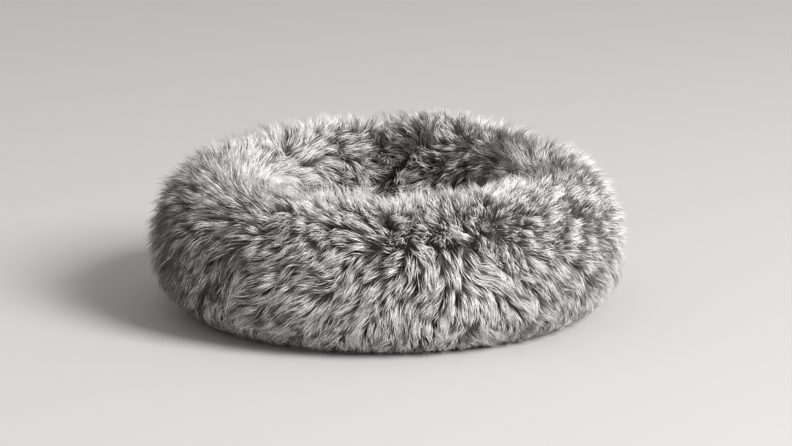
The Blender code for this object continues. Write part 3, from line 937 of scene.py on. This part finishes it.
class PETBED_OT_stitching(bpy.types.Operator):
    """Sewing thread round the base's edge and beside its zip"""
    bl_idname = "petbed.stitching"
    bl_label = "Stitching"

    def execute(self, context):
        turn = np.arange(0, 2 * np.pi, STITCH_PITCH / (BASE_RADIUS - EDGE_SEAM))
        turn = turn[np.abs(np.sin(turn)) > 0.04]
        ring = polar(turn, BASE_RADIUS - EDGE_SEAM, 0 * turn)
        ring_ways = np.stack([-np.sin(turn), np.cos(turn), 0 * turn], -1)
        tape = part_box("zip_tape_back")
        x = np.arange(tape[0].x + 0.004, tape[1].x - 0.004, STITCH_PITCH)
        beside = tape[0].y + TAPE_SEAM
        rows = [np.stack([x, np.full(len(x), side * beside), 0 * x], -1) for side in (-1, 1)]
        places = np.concatenate([ring, *rows])
        ways = np.concatenate([ring_ways, np.tile([1.0, 0.0, 0.0], (2 * len(x), 1))])
        places[:, 2] = 0.0001
        piece = stitches("base_stitching", places, ways, STITCH_SHARE * STITCH_PITCH, THREAD)
        piece.data.materials.append(thread_finish())
        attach(piece, "bed")
        return {"FINISHED"}


# ---------------- finishes of the frame's own nodes

def weave(finish, pitch, tilt=0.0):
    """Height of a plain weave: crossed waves along two directions, from minus 1 to 1."""
    x, y, _ = finish.parts(finish.position())
    turns = 2 * math.pi / pitch
    warp = (x * (turns * math.cos(tilt)) + y * (turns * math.sin(tilt))).wave()
    weft = (y * (turns * math.cos(tilt)) - x * (turns * math.sin(tilt))).wave()
    return warp * weft


def base_finish():
    """Charcoal canvas quilted in diamonds, with rows of small rubber grip dots."""
    finish = Finish("grip_canvas")
    x, y, _ = finish.parts(finish.position())
    cell_x = x.math("PINGPONG", x, GRIP_PITCH / 2)
    cell_y = y.math("PINGPONG", y, GRIP_PITCH / 2)
    reach = (cell_x * cell_x + cell_y * cell_y) ** 0.5
    dot = 1 - finish.step(reach, GRIP_DOT * 0.8, GRIP_DOT)
    cloth = weave(finish, 0.0011)
    slub = finish.noise(220.0, 4.0)
    across, along = (x + y) * math.sqrt(0.5), (x - y) * math.sqrt(0.5)
    seams = [way.math("PINGPONG", way, QUILT_PITCH / 2) for way in (across, along)]
    dashes = [finish.step(way.math("PINGPONG", way, STITCH_PITCH / 2), 0.10 * STITCH_PITCH,
                          0.16 * STITCH_PITCH) for way in (along, across)]
    pillow = finish.step(across.math("MINIMUM", *seams), 0.0, QUILT_SLOPE)
    rows = [(1 - finish.step(seam, THREAD / 2, THREAD)) * dash for seam, dash in zip(seams, dashes)]
    thread = across.math("MAXIMUM", *rows)
    cotton = finish.blend(slub, (0.045, 0.044, 0.043, 1), (0.085, 0.083, 0.080, 1))
    cotton = finish.blend(thread, cotton, (0.20, 0.195, 0.19, 1))
    finish.set(base_color=finish.blend(dot, cotton, (0.020, 0.020, 0.021, 1)),
               roughness=0.86 - 0.34 * dot)
    finish.bump(dot * 3.0 + (1 - dot) * (cloth + slub) + 6.0 * pillow + thread, 0.0003)
    return finish.material


def casing_finish():
    """Unbleached cotton casing, softly creased."""
    finish = Finish("casing_cotton")
    creases = finish.noise(38.0, 5.0, 0.6)
    thread = weave(finish, 0.0009, 0.4)
    finish.set(base_color=finish.blend(creases, (0.50, 0.48, 0.44, 1), (0.66, 0.64, 0.60, 1)), roughness=0.9)
    finish.bump(creases * 3.0 + thread * 0.3, 0.0006)
    return finish.material


def wadding_finish():
    """White fibre wadding, cloudy and matted."""
    finish = Finish("fibre_wadding")
    clumps = finish.noise(60.0, 8.0, 0.7)
    finish.set(base_color=finish.blend(clumps, (0.62, 0.62, 0.60, 1), (0.84, 0.84, 0.83, 1)), roughness=0.96)
    finish.bump(clumps + finish.noise(700.0, 3.0) * 0.4, 0.0020)
    return finish.material


def tape_finish():
    """Herringbone zip tape in charcoal."""
    finish = Finish("herringbone_tape")
    x, y, _ = finish.parts(finish.position())
    fold = y.math("PINGPONG", y, 0.0012)
    twill = ((x + fold) * (2 * math.pi / 0.0008)).wave()
    wear = finish.noise(300.0, 3.0)
    finish.set(base_color=finish.blend(wear, (0.040, 0.039, 0.038, 1), (0.070, 0.068, 0.066, 1)),
               roughness=0.84)
    finish.bump(twill * 0.6 + wear, 0.0002)
    return finish.material


def coil_finish():
    """Moulded nylon coil, a little glossy and rubbed."""
    finish = Finish("nylon_coil")
    rub = finish.noise(420.0, 3.0)
    finish.set(base_color=finish.blend(rub, (0.030, 0.030, 0.031, 1), (0.060, 0.060, 0.061, 1)),
               roughness=0.32 + 0.20 * rub)
    return finish.material


def nickel_finish():
    """Satin nickel, brushed along its length, with small dull spots."""
    finish = Finish("satin_nickel")
    x, y, z = finish.parts(finish.position())
    brushed = finish.node("ShaderNodeTexNoise", inputs={
        "Vector": finish.node("ShaderNodeCombineXYZ", inputs={0: x * 60.0, 1: y * 4000.0, 2: z * 4000.0}),
        "Scale": 1.0, "Detail": 3.0})
    dull = finish.step(finish.noise(900.0, 4.0), 0.55, 0.75)
    finish.set(base_color=finish.blend(dull, (0.66, 0.64, 0.60, 1), (0.46, 0.44, 0.41, 1)), metallic=1.0,
               roughness=0.22 + 0.14 * brushed + 0.16 * dull)
    finish.bump(brushed, 0.00004)
    return finish.material


def label_finish():
    """Blank woven satin label with folded, doubled ends."""
    finish = Finish("label_satin")
    x, _, _ = finish.parts(finish.position())
    ends = finish.step(x.math("ABSOLUTE", x, 0.0), 0.0185, 0.0190)
    satin = weave(finish, 0.0005, 0.3)
    mottle = finish.noise(260.0, 3.0)
    finish.set(base_color=finish.blend(mottle, (0.72, 0.71, 0.68, 1), (0.84, 0.83, 0.80, 1)),
               roughness=0.46 + 0.12 * ends)
    finish.bump(satin * 0.3 + ends + mottle * 0.4, 0.0002)
    return finish.material


def thread_finish():
    """Grey polyester thread with a twist."""
    finish = Finish("sewing_thread")
    x, y, _ = finish.parts(finish.position())
    twist = ((x + y) * (2 * math.pi / 0.0005)).wave()
    finish.set(base_color=finish.blend(finish.noise(500.0), (0.16, 0.155, 0.15, 1), (0.26, 0.255, 0.25, 1)),
               roughness=0.6)
    finish.bump(twist, 0.00008)
    return finish.material


class PETBED_OT_finishes(bpy.types.Operator):
    """Finishes of the parts that keep the frame's own shape"""
    bl_idname = "petbed.finishes"
    bl_label = "Finishes"

    def execute(self, context):
        metal = ("zip_slider", "zip_pull", "zip_bottom_stop", "zip_top_stop_front", "zip_top_stop_back")
        finishes = ((casing_finish, ("bolster_casing", "cushion_casing")),
                    (wadding_finish, ("bolster_fill", "cushion_fill")),
                    (base_finish, ("base_panel_front", "base_panel_back")),
                    (tape_finish, ("zip_tape_front", "zip_tape_back")),
                    (label_finish, ("care_label",)),
                    (nickel_finish, metal))
        for make_finish, nodes in finishes:
            material = make_finish()
            for node in nodes:
                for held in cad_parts[node].material_slots:
                    held.material = material
        return {"FINISHED"}


# ---------------- the stage

def area_light(name, place, target, size, power, tint):
    """A square soft light that faces a point."""
    light = bpy.data.lights.new(name, "AREA")
    light.shape = "SQUARE"
    light.size = size
    light.energy = power
    light.color = tint
    obj = bpy.data.objects.new(name, light)
    bpy.context.scene.collection.objects.link(obj)
    obj.location = place
    obj.rotation_euler = (Vector(target) - obj.location).to_track_quat("-Z", "Y").to_euler()


class PETBED_OT_stage(bpy.types.Operator):
    """Floor, camera and soft studio light"""
    bl_idname = "petbed.stage"
    bl_label = "Stage"

    def execute(self, context):
        settings = context.scene.bed_stage
        corners = FLOOR_REACH * np.array([[-1, -1, 0], [1, -1, 0], [1, 1, 0], [-1, 1, 0]])
        floor = new_mesh("floor", corners, np.array([[0, 1, 2, 3]]))
        finish = Finish("floor_paint")
        finish.set(base_color=colour(settings.floor), roughness=0.85)
        floor.data.materials.append(finish.material)
        view = bpy.data.cameras.new("view")
        view.lens = settings.lens
        view.sensor_width = 36.0
        view.sensor_fit = "HORIZONTAL"
        camera = bpy.data.objects.new("view", view)
        context.scene.collection.objects.link(camera)
        camera.location = (settings.aside, -settings.distance, settings.height)
        camera.rotation_euler = (math.pi / 2 - settings.tilt, 0, 0)
        context.scene.camera = camera
        area_light("key", KEY_PLACE, KEY_TARGET, KEY_SIZE, settings.key, (1.0, 0.99, 0.975))
        world = context.scene.world or bpy.data.worlds.new("studio")
        context.scene.world = world
        world.use_nodes = True
        sky = world.node_tree.nodes["Background"]
        sky.inputs["Color"].default_value = (1.0, 0.985, 0.96, 1.0)
        sky.inputs["Strength"].default_value = settings.sky
        context.scene.view_settings.view_transform = "Standard"
        return {"FINISHED"}


class PETBED_PT_panel(bpy.types.Panel):
    """Buttons that build the bed, and its settings"""
    bl_idname = "PETBED_PT_panel"
    bl_label = "Pet bed"
    bl_space_type = "VIEW_3D"
    bl_region_type = "UI"
    bl_category = "Pet bed"

    def draw(self, context):
        for group in (context.scene.bed_pile, context.scene.bed_stage):
            for name in group.__annotations__:
                self.layout.prop(group, name)
        for step in STEPS:
            self.layout.operator(step)


STEPS = ("petbed.stage", "petbed.finishes", "petbed.stuffing", "petbed.backing", "petbed.nest",
         "petbed.zip", "petbed.stitching", "petbed.ring_pile")
CLASSES = (BedPileSettings, BedStageSettings, PETBED_OT_stage, PETBED_OT_finishes, PETBED_OT_stuffing,
           PETBED_OT_backing, PETBED_OT_nest, PETBED_OT_zip, PETBED_OT_stitching, PETBED_OT_ring_pile,
           PETBED_PT_panel)


def register():
    for each in CLASSES:
        bpy.utils.register_class(each)
    bpy.types.Scene.bed_pile = bpy.props.PointerProperty(type=BedPileSettings)
    bpy.types.Scene.bed_stage = bpy.props.PointerProperty(type=BedStageSettings)


def unregister():
    del bpy.types.Scene.bed_stage
    del bpy.types.Scene.bed_pile
    for each in reversed(CLASSES):
        bpy.utils.unregister_class(each)


def main():
    register()
    for step in STEPS:
        group, name = step.split(".")
        getattr(getattr(bpy.ops, group), name)()


if __name__ == "__main__":
    main()
